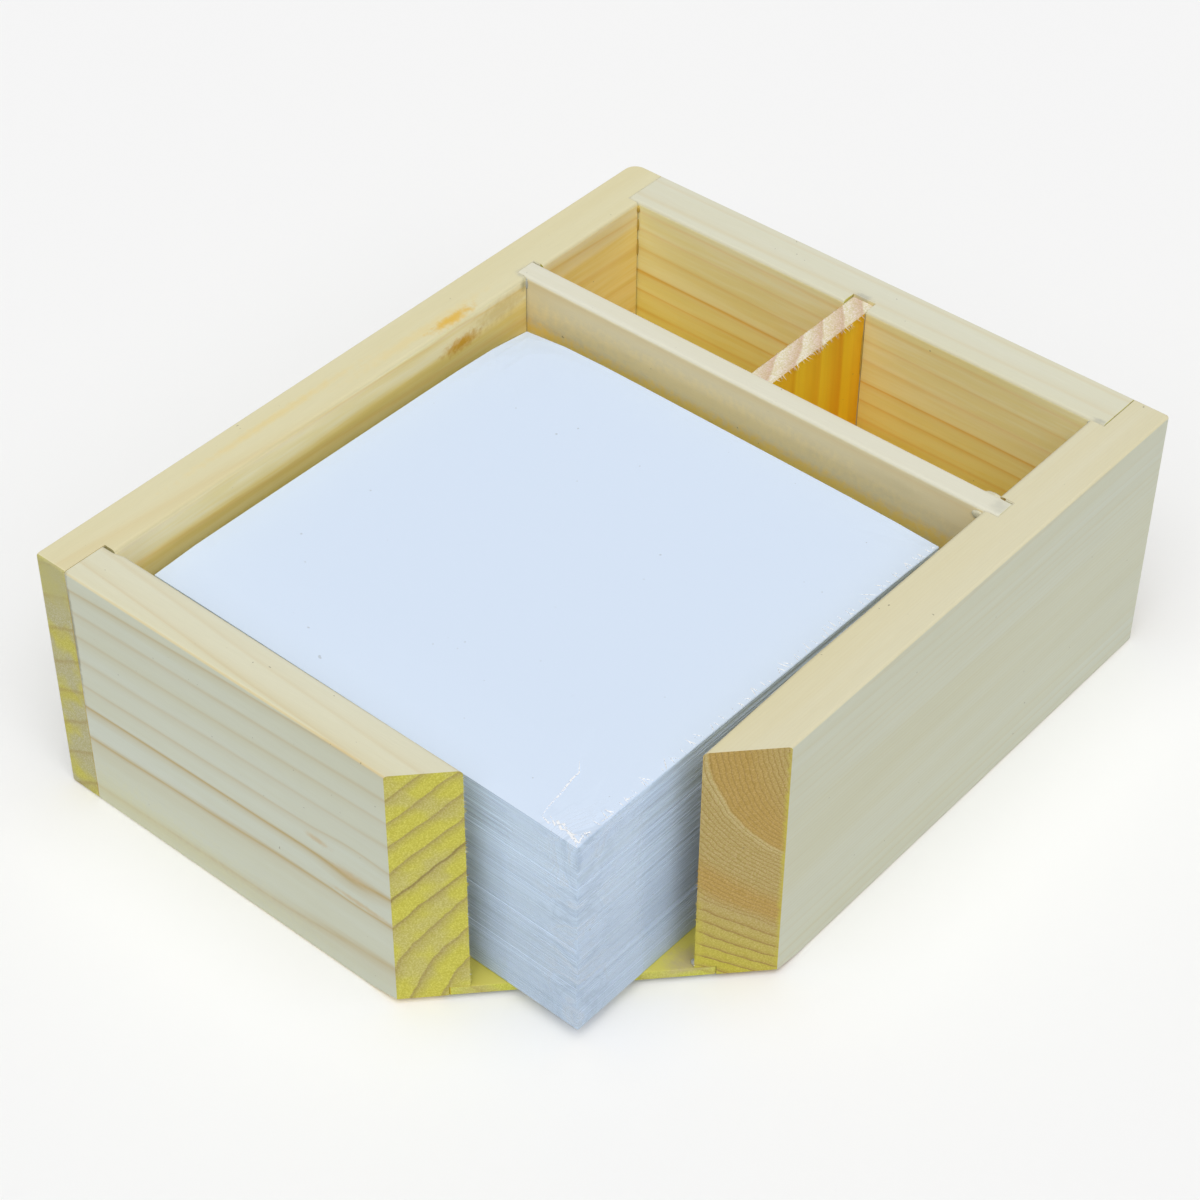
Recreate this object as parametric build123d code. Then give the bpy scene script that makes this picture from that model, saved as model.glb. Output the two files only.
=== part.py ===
"""A pine memo holder: four glued walls on a thin base, two pen bays and a wrapped block of memo slips.

Millimetres, +Z up. The origin is on the table, under the middle of the holder's outline.
+X runs along the front wall from the left side to the right side, and +Y from the front to the back.
The corner between the front wall and the right side is sawn off, so that the slips can be gripped.
"""

import math
import os

from build123d import *

# The block of slips: their width along X and their depth along Y
slip_width = 91.4
slip_depth = 90.0
sheet_thickness = 0.1
sheet_count = 420
# How far the whole stack leans as it rises, and how far single sheets stray from it
sheet_drift = 0.2
sheet_scatter = 0.1
# Waves of the lean from the bottom of the stack to the top, along X and along Y
drift_waves_x = 1.3
drift_waves_y = 0.8
# The part of a full turn between the strays of one sheet and the next, along X and along Y
scatter_turn_x_share = 0.382
scatter_turn_y_share = 0.236

# The film shrunk round the slips
film_thickness = 0.05
film_slack = 0.05
film_vent_diameter = 3.0

# The free space round the block in its bay
left_clearance = 2.8
right_clearance = 5.2
front_clearance = 4.05
rear_clearance = 4.9
# The loose block lies a little askew: its turn seen from above, in degrees
block_turn = -0.7

# The walls
wall_height = 51.5
side_thickness = 9.3
front_thickness = 8.55
back_thickness = 9.8
# How far the front and back walls are let into the sides
end_rabbet_depth = 2.4
# The layer of glue at a joint
glue_line = 0.15

# The sawn-off corner, measured along the front wall and along the right side
corner_cut_front = 42.0
corner_cut_side = 44.3
# The bevel sanded under the cut: how high it reaches up the cut, and how far it runs in under the holder
foot_bevel_height = 1.2
foot_bevel_reach = 6.0

# The base panel and the rabbet in the walls that holds it
base_thickness = 3.0
base_rabbet_width = 2.5

# The divider behind the slips, and the dado in each side that holds it
divider_thickness = 4.5
divider_dado_depth = 2.4

# The pen bays, and the partition between them
pen_bay_depth = 27.0
partition_thickness = 4.5
partition_dado_depth = 3.0
partition_drop = 0.5

# Edges rounded by sanding
edge_radius = 0.55
inner_edge_radius = 0.7
corner_radius = 0.7
back_left_corner_radius = 2.6
# The most of a corner's radius that the edges running into it may take
edge_limit_share = 0.8

# How far a cutter runs past what it cuts
overrun = 5.0

# Sizes that follow from those above
sheet_stray = sheet_drift + sheet_scatter
film_bore_width = slip_width + 2 * (sheet_stray + film_slack)
film_bore_depth = slip_depth + 2 * (sheet_stray + film_slack)
block_width = film_bore_width + 2 * film_thickness
block_depth = film_bore_depth + 2 * film_thickness
stack_height = sheet_count * sheet_thickness

box_width = 2 * side_thickness + left_clearance + block_width + right_clearance
memo_bay_depth = front_clearance + block_depth + rear_clearance
box_depth = front_thickness + memo_bay_depth + divider_thickness + pen_bay_depth + back_thickness

left_x = -box_width / 2
right_x = box_width / 2
front_y = -box_depth / 2
back_y = box_depth / 2

bay_left_x = left_x + side_thickness
bay_right_x = right_x - side_thickness
bay_front_y = front_y + front_thickness
divider_front_y = bay_front_y + memo_bay_depth
divider_back_y = divider_front_y + divider_thickness
pen_bay_back_y = back_y - back_thickness

block_x = bay_left_x + left_clearance + block_width / 2
block_y = bay_front_y + front_clearance + block_depth / 2
film_floor_z = base_thickness + film_thickness
film_roof_z = film_floor_z + stack_height


def slab(low, high):
    """A box between its lowest and its highest corner."""
    size = [top - bottom for bottom, top in zip(low, high)]
    return Pos(*low) * Box(*size, align=(Align.MIN, Align.MIN, Align.MIN))


def wall_section(thickness):
    """The section of a wall: its outer face on u = 0, the base's rabbet below, the inner top edge eased."""
    rabbet_u = thickness - base_rabbet_width
    rabbet_v = base_thickness + glue_line
    outline = Polyline(
        (0, 0),
        (0, wall_height),
        (thickness, wall_height),
        (thickness, rabbet_v),
        (rabbet_u, rabbet_v),
        (rabbet_u, 0),
        close=True,
    )
    section = make_face(outline)
    inner_top = section.vertices().sort_by(Axis.X)[-2:].sort_by(Axis.Y)[-1]
    return fillet(inner_top, inner_edge_radius)


def sanded_envelope():
    """The holder's outline as a solid with its outer edges rounded. Each wall is trimmed to it."""
    envelope = slab((left_x, front_y, 0), (right_x, back_y, wall_height))
    uprights = envelope.edges().filter_by(Axis.Z)
    back_left = uprights.sort_by(Axis.X)[:2].sort_by(Axis.Y)[-1]
    envelope = fillet(back_left, back_left_corner_radius)
    uprights = [edge for edge in envelope.edges().filter_by(Axis.Z) if not on_back_left_corner(edge)]
    envelope = fillet(uprights, corner_radius)
    rim = envelope.edges().group_by(Axis.Z)[-1] + envelope.edges().group_by(Axis.Z)[0]
    smallest_corner = min(corner_radius, back_left_corner_radius)
    return fillet(rim, min(edge_radius, edge_limit_share * smallest_corner))


def on_back_left_corner(edge):
    """Whether an upright edge bounds the rounding of the back left corner."""
    middle = edge.center()
    near_left = middle.X < left_x + 2 * back_left_corner_radius
    near_back = middle.Y > back_y - 2 * back_left_corner_radius
    return near_left and near_back


def corner_cutter():
    """What comes off the corner between front wall and right side: the saw's cut and the bevel under it."""
    on_front = Vector(right_x - corner_cut_front, front_y)
    on_side = Vector(right_x, front_y + corner_cut_side)
    along = (on_side - on_front).normalized() * overrun
    outside = Vector(right_x + overrun, front_y - overrun)
    outline = Polyline(on_front - along, on_side + along, outside, close=True)
    cut = Pos(0, 0, -overrun) * extrude(make_face(outline), wall_height + 2 * overrun)
    return cut + foot_bevel(on_front - along, on_side + along)


def foot_bevel(start, end):
    """A wedge under the cut's line from start to end. In its section the cut is u = 0 and the table v = 0."""
    run = end - start
    outwards = Vector(run.Y, -run.X)
    slope = foot_bevel_height / foot_bevel_reach
    outline = Polyline(
        (overrun, foot_bevel_height + slope * overrun),
        (-foot_bevel_reach - overrun, -slope * overrun),
        (overrun, -slope * overrun),
        close=True,
    )
    plane = Plane(origin=end, x_dir=outwards, z_dir=-run)
    return extrude(plane * make_face(outline), run.length)


def end_rabbet(inner_x, outwards, from_y, to_y):
    """The notch at a side's end that takes a wall's end. Outwards is the X direction of the outer face."""
    floor_x = inner_x + outwards * end_rabbet_depth
    mouth_x = inner_x - outwards * overrun
    low = (min(floor_x, mouth_x), from_y, -overrun)
    return slab(low, (max(floor_x, mouth_x), to_y, wall_height + overrun))


def divider_dado(inner_x, outwards):
    """The groove in a side that takes the divider's end."""
    floor_x = inner_x + outwards * divider_dado_depth
    mouth_x = inner_x - outwards * overrun
    low = (min(floor_x, mouth_x), divider_front_y - glue_line, -overrun)
    high = (max(floor_x, mouth_x), divider_back_y + glue_line, wall_height + overrun)
    return slab(low, high)


def left_side(envelope):
    """The left side runs the whole depth, with a rabbet at both ends."""
    plane = Plane(origin=(left_x, back_y, 0), x_dir=(1, 0, 0), z_dir=(0, -1, 0))
    board = extrude(plane * wall_section(side_thickness), box_depth)
    board -= end_rabbet(bay_left_x, -1, front_y - overrun, bay_front_y + glue_line)
    board -= end_rabbet(bay_left_x, -1, pen_bay_back_y - glue_line, back_y + overrun)
    board -= divider_dado(bay_left_x, -1)
    return board & envelope


def right_side(envelope):
    """The right side has a rabbet at the back, and ends at the sawn corner."""
    plane = Plane(origin=(right_x, front_y, 0), x_dir=(-1, 0, 0), z_dir=(0, 1, 0))
    board = extrude(plane * wall_section(side_thickness), box_depth)
    board -= end_rabbet(bay_right_x, 1, pen_bay_back_y - glue_line, back_y + overrun)
    board -= divider_dado(bay_right_x, 1)
    return (board & envelope) - corner_cutter()


def front_wall(envelope):
    """The front wall is let into the left side, and ends at the sawn corner."""
    end_x = bay_left_x - end_rabbet_depth + glue_line
    plane = Plane(origin=(end_x, front_y, 0), x_dir=(0, 1, 0), z_dir=(1, 0, 0))
    board = extrude(plane * wall_section(front_thickness), right_x - end_x)
    return (board & envelope) - corner_cutter()


def back_wall(envelope):
    """The back wall is let into both sides, with a groove for the partition."""
    end_x = bay_right_x + end_rabbet_depth - glue_line
    plane = Plane(origin=(end_x, back_y, 0), x_dir=(0, -1, 0), z_dir=(-1, 0, 0))
    board = extrude(plane * wall_section(back_thickness), 2 * end_x)
    half_groove = partition_thickness / 2 + glue_line
    groove_low = (-half_groove, pen_bay_back_y - overrun, -overrun)
    groove_high = (half_groove, pen_bay_back_y + partition_dado_depth, wall_height + overrun)
    return (board - slab(groove_low, groove_high)) & envelope


def divider():
    """The divider stands on the base, with its ends in the grooves of the two sides."""
    half_length = bay_right_x + divider_dado_depth - glue_line
    low = (-half_length, divider_front_y, base_thickness + glue_line)
    board = slab(low, (half_length, divider_back_y, wall_height))
    middle_top = board.edges().filter_by(Axis.X).group_by(Axis.Z)[-1]
    return fillet(middle_top, inner_edge_radius)


def pen_partition():
    """The partition stands on the base, between the divider and the groove in the back wall."""
    low = (-partition_thickness / 2, divider_back_y + glue_line, base_thickness + glue_line)
    end_y = pen_bay_back_y + partition_dado_depth - glue_line
    return slab(low, (partition_thickness / 2, end_y, wall_height - partition_drop))


def base_panel():
    """The base lies in the rabbet under the walls, flush with them, and is sawn off with the corner."""
    margin = base_rabbet_width - glue_line
    low = (bay_left_x - margin, bay_front_y - margin, 0)
    high = (bay_right_x + margin, pen_bay_back_y + margin, base_thickness)
    return slab(low, high) - corner_cutter()


def in_bay(shape):
    """Puts a shape that was made about the middle of the block into the bay."""
    return Pos(block_x, block_y, 0) * Rot(0, 0, block_turn) * shape


def sheet_place(number):
    """How far a sheet strays from the middle of the block, as X and Y."""
    rise = number / sheet_count
    x = sheet_drift * math.sin(math.tau * drift_waves_x * rise)
    y = sheet_drift * math.sin(math.tau * drift_waves_y * rise)
    x += sheet_scatter * math.sin(math.tau * scatter_turn_x_share * number)
    y += sheet_scatter * math.sin(math.tau * scatter_turn_y_share * number)
    return x, y


def memo_sheets():
    """The loose slips, each a sheet of its own, jogged into a stack."""
    lowest = (Align.CENTER, Align.CENTER, Align.MIN)
    sheet = Box(slip_width, slip_depth, sheet_thickness, align=lowest)
    stack = []
    for number in range(sheet_count):
        x, y = sheet_place(number)
        stack.append(in_bay(Pos(x, y, film_floor_z + number * sheet_thickness) * sheet))
    return Compound(children=stack)


def shrink_film():
    """The film, closed round the stack but for the vent underneath that lets the air out."""
    film = slab(
        (-block_width / 2, -block_depth / 2, base_thickness),
        (block_width / 2, block_depth / 2, film_roof_z + film_thickness),
    )
    film -= slab(
        (-film_bore_width / 2, -film_bore_depth / 2, film_floor_z),
        (film_bore_width / 2, film_bore_depth / 2, film_roof_z),
    )
    vent = Cylinder(film_vent_diameter / 2, 2 * film_thickness)
    return in_bay(film - Pos(0, 0, film_floor_z) * vent)


def main():
    envelope = sanded_envelope()
    nodes = {
        "left_side": left_side(envelope),
        "right_side": right_side(envelope),
        "front_wall": front_wall(envelope),
        "back_wall": back_wall(envelope),
        "divider": divider(),
        "pen_partition": pen_partition(),
        "base_panel": base_panel(),
        "memo_sheets": memo_sheets(),
        "shrink_film": shrink_film(),
    }
    os.makedirs("parts", exist_ok=True)
    for name, shape in nodes.items():
        export_step(shape, os.path.join("parts", name + ".step"))
    print(f"outside {box_width:.1f} x {box_depth:.1f} x {wall_height:.1f} mm")


if __name__ == "__main__":
    main()
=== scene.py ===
"""The looks of the pine memo holder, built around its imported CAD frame. Metres, in the frame's own axes.

The boards are the CAD solids with their sharp edges softened and a solid pine texture: each board has its
own pith line, so that the rings on its end grain and the lines on its faces belong together. The slips are
separate sheets that droop a little at the edges, and the film round them is a thin shell with creases.
"""

import math
import random
from dataclasses import dataclass

import bmesh
import bpy
from mathutils import Matrix, Vector, noise


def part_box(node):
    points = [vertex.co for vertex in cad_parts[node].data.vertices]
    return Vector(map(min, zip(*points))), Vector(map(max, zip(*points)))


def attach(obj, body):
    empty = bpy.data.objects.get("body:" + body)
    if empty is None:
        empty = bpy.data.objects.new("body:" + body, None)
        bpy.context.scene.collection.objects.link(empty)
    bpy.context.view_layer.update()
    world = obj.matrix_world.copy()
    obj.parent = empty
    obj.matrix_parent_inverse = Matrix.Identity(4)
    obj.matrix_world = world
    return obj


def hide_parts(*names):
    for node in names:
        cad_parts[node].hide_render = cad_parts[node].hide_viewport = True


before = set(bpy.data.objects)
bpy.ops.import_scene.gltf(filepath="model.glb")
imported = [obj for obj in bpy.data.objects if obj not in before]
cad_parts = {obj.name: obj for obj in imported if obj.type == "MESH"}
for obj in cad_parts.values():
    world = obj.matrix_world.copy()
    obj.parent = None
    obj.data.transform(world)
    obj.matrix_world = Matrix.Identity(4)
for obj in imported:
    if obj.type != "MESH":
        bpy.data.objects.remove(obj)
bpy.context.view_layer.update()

mm = 0.001
per_mm = 1000.0

# Camera: where it looks, from how far, and at which angles, fitted to the photograph
camera_target = Vector((-2.359, -1.980, 25.378)) * mm
camera_distance = 488.511 * mm
camera_azimuth = math.radians(40.038)
camera_elevation = math.radians(41.883)
camera_roll = math.radians(0.482)
camera_sensor = 36.0
camera_focal_pixels = 2855.93
photo_pixels = 1200
camera_near = 10 * mm

# Light: an even studio, a wide soft lamp overhead, a soft lamp on each side of the camera, and a small
# one that glints on the film
studio_level = 0.30


@dataclass
class Lamp:
    """A soft lamp far away. It is turned from the front to the right, and tilted down from overhead."""
    name: str
    level: float
    turn: float
    tilt: float
    width: float


lamps = [
    Lamp("overhead_softbox", 0.475, math.radians(40), math.radians(14), math.radians(60)),
    Lamp("left_softbox", 0.11, math.radians(10), math.radians(45), math.radians(35)),
    Lamp("right_softbox", 0.155, math.radians(70), math.radians(45), math.radians(35)),
    Lamp("glint", 0.045, math.radians(30), math.radians(30), math.radians(5)),
]
floor_level = 0.93
floor_reach = 10.0
floor_gap = 0.02 * mm
# What the camera, and anything glossy, sees beyond the floor
backdrop_level = 0.93

# Wood
edge_softening = 0.15 * mm
# The fibres' noise is drawn out along the board by this share
fibre_share = 0.06
# Slow wander of the rings, and their fine waver, in millimetres
ring_wander = 2.0
ring_waver = 0.3
# How fine the noises of the wander and the waver are
wander_scale = 0.05
waver_scale = 0.45
# How far apart the boards lie in the noises, so that no two look alike
seed_spacing = 31
# How uneven the outline of a stain or a patch of painted light is, as a share of its reach
stain_or_light_waver = 0.6
# Torn fibres: how far they spread along their row and across it, and the shortest and thinnest as shares
fuzz_spread_along = 0.35
fuzz_spread_across = 0.3
shortest_share = 0.3
thinnest_share = 0.5

# Glue: how dark the painted shade in its hollows is, as a share, how uneven the drops are, and how far seams
# dip, in millimetres
glue_shade = 0.7
bead_bumps = 0.25
seam_dip = 0.05

# The block of slips
sheet_count = 420
slip_width = 91.4 * mm
slip_depth = 90.0 * mm
block_turn = math.radians(-0.7)
# The slips were cut in lifts: how many slips a lift has, and how far lifts and single slips stray
lift_sheets = (8, 40)
lift_stray = 0.12 * mm
sheet_stray = 0.06 * mm
paper_seed = 11
# How far the wrapped block stands from the solid one, and how much higher its top is
block_shift = Vector((0.2, 0.3, 0)) * mm
stack_swell = 0.3 * mm
# How far the top slip droops at the front and all round, and how much more at each corner,
# by the signs of its place across and along the block
front_sag = 0.62 * mm
edge_sag = 0.15 * mm
corner_sags = {(1, -1): 0.25 * mm, (1, 1): 0.5 * mm, (-1, 1): 1.5 * mm, (-1, -1): 0.1 * mm}
# How sharply the droop sets in towards the edges
sag_power = 6
# The share of the stack's height below which the slips lie flat
flat_share = 0.45
slip_divisions = 10
slip_insets = [0.0, 2.0 * mm, 6.0 * mm, 14.0 * mm]
# Heights where the edges' painted shade fades out, and where painted light and shade of single slips sets in
painted_edge_shade_between = (8.0, 40.0)
crisp_between = (14.0, 42.0)

# The film
film_gap = 0.06 * mm
film_rounding = 0.35 * mm
film_fine_step = 0.4 * mm
film_coarse_step = 2.5 * mm
film_edge_reach = 2.0 * mm
film_crinkle_reach = 7.0 * mm
film_crinkle_depth = 0.06 * mm
# The noise's own seed, which is otherwise taken from the clock
film_seed = 7
# How close the crinkles are, how much they run upwards, how they curl, fade and come to a ridge
crinkle_rate = 150
crinkle_rise = 0.45
curl_rate = 0.5
curl_amount = 0.8
crinkle_fade = 1.5
crinkle_ridge = 4
# The pleats across the right top edge
pleat_spacing = 1.3 * mm
pleat_length = 2.2 * mm
pleat_height = 0.14 * mm
pleat_width = 0.22 * mm
pleat_slant = 0.35
pleat_steps = 4
crease_seed = 23


class Graph:
    """Writes a material's nodes. Each method adds one node and gives back the output that is wanted."""

    def __init__(self, name):
        self.material = bpy.data.materials.new(name)
        self.material.use_nodes = True
        self.tree = self.material.node_tree
        self.tree.nodes.clear()

    def add(self, kind, inputs=(), output=0, **settings):
        node = self.tree.nodes.new(kind)
        for name, value in settings.items():
            setattr(node, name, value)
        for key, value in dict(inputs).items():
            if isinstance(value, bpy.types.NodeSocket):
                self.tree.links.new(value, node.inputs[key])
            else:
                node.inputs[key].default_value = value
        return node.outputs[output]

    def math(self, operation, *values):
        return self.add("ShaderNodeMath", enumerate(values), operation=operation)

    def vector(self, operation, *values):
        return self.add("ShaderNodeVectorMath", enumerate(values), operation=operation)

    def scaled(self, vector, factor):
        return self.add("ShaderNodeVectorMath", {"Vector": vector, "Scale": factor}, operation="SCALE")

    def dot(self, vector, direction):
        return self.add("ShaderNodeVectorMath", {0: vector, 1: direction}, "Value", operation="DOT_PRODUCT")

    def length(self, vector):
        return self.add("ShaderNodeVectorMath", {0: vector}, "Value", operation="LENGTH")

    def split(self, vector):
        node = self.add("ShaderNodeSeparateXYZ", {0: vector}).node
        return [node.outputs[i] for i in range(3)]

    def joined(self, x, y, z):
        return self.add("ShaderNodeCombineXYZ", {0: x, 1: y, 2: z})

    def noise(self, vector, scale, detail=2.0, roughness=0.5, output="Fac"):
        inputs = {"Vector": vector, "Scale": scale, "Detail": detail, "Roughness": roughness}
        return self.add("ShaderNodeTexNoise", inputs, output)

    def step(self, value, low, high):
        """0 below low, 1 above high, and smooth between."""
        return self.add("ShaderNodeMapRange", {0: value, 1: low, 2: high}, interpolation_type="SMOOTHSTEP")

    def span(self, value, low, high):
        """A share from 0 to 1 spread evenly over low to high."""
        return self.add("ShaderNodeMapRange", {0: value, 3: low, 4: high})

    def ramp(self, value, stops):
        """A colour for each place along a share from 0 to 1. A stop may also be a plain level of grey."""
        node = self.add("ShaderNodeValToRGB", {0: value}).node
        elements = node.color_ramp.elements
        while len(elements) < len(stops):
            elements.new(1.0)
        for element, (position, colour) in zip(elements, stops):
            element.position = position
            element.color = colour if isinstance(colour, tuple) else rgb(colour, colour, colour)
        return node.outputs["Color"]

    def mix(self, share, first, second, blend="MIX"):
        inputs = {0: share, 6: first, 7: second}
        return self.add("ShaderNodeMix", inputs, 2, data_type="RGBA", blend_type=blend)

    def bump(self, height, distance, strength=1.0):
        return self.add("ShaderNodeBump", {"Height": height, "Distance": distance, "Strength": strength})

    def place_in_mm(self):
        return self.scaled(self.add("ShaderNodeTexCoord", output="Object"), per_mm)

    def finish(self, shader):
        output = self.tree.nodes.new("ShaderNodeOutputMaterial")
        self.tree.links.new(shader, output.inputs["Surface"])
        return self.material


def rgb(red, green, blue):
    return (red, green, blue, 1.0)


@dataclass
class StainOrPaintedLight:
    """A soft mark on a board: a smear of glue, a warm streak, a worn spot or a patch of painted light.
    Lengths are millimetres.
    """
    place: tuple
    reach: tuple
    colour: tuple
    amount: float = 0.7
    on_end: bool = False  # whether it shows on the end grain only


@dataclass
class Knot:
    """A place that the year lines bend round, pushed apart by some millimetres."""
    place: tuple
    reach: tuple
    push: float


@dataclass
class Board:
    """How one board was cut from its tree. Lengths are millimetres in the frame's axes."""
    node: str
    along: str  # the axis of the fibres
    outward: tuple  # the direction of the face that shows on the outside
    pith: tuple  # where the tree's centre runs, on the two other axes
    ring: float  # from one year's dark line to the next
    ring_start: float = 0.0  # how far from the pith one of the dark lines lies
    fine_within: float = 0.0  # inside this distance from the pith the rings are fine
    fine_ring: float = 1.0
    lean: tuple = (0.0, 0.0)  # how far the pith drifts for each millimetre along the fibres
    strong_at: float = -100.0  # the distance from the pith where the year lines are strongest
    line: float = 0.9  # how strong the year lines are on the long faces
    top_line: float = 0.5  # the share of that on the top face
    end_line: float = 0.8  # and on the end grain
    end_band: float = 0.45  # how strong the soft side of a year line is on the end grain
    top: tuple = rgb(0.72, 0.67, 0.45)
    outer: tuple = rgb(0.62, 0.64, 0.53)
    # On most boards the inner faces are painted lighter than the wood, to lift the shade in the bays
    inner: tuple = rgb(0.96, 0.84, 0.36)
    end: tuple = rgb(0.58, 0.54, 0.13)
    end_patch: tuple = rgb(0.58, 0.52, 0.18)
    late: tuple = rgb(0.88, 0.67, 0.34)  # what the dark lines do to the colour of a long face
    end_late: tuple = rgb(0.33, 0.22, 0.06)
    end_soft: tuple = rgb(0.45, 0.35, 0.12)
    belts: tuple = ()  # colours of the end grain by distance from the pith
    stains_and_painted_light: tuple = ()
    knots: tuple = ()
    crack: float = 0.0  # how dark the strongest line is on the end grain
    worn: float = 0.08  # how orange the rounded top edges are
    painted_shade_between: tuple = (48.0, 20.0)  # heights where the inner faces begin to take a painted warm shade, and where it is deepest
    painted_shade_tint: tuple = rgb(1.0, 0.90, 0.55)
    broad: bool = False  # whether the dark side of a year is as broad as the pale one
    seed: float = 0.0


glue_grey = rgb(0.42, 0.42, 0.36)
tan = rgb(0.58, 0.47, 0.28)
bright_yellow = rgb(0.55, 0.49, 0.06)
amber = rgb(0.49, 0.33, 0.09)
straw = rgb(0.49, 0.38, 0.14)
pale_straw = rgb(0.56, 0.46, 0.20)

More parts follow.
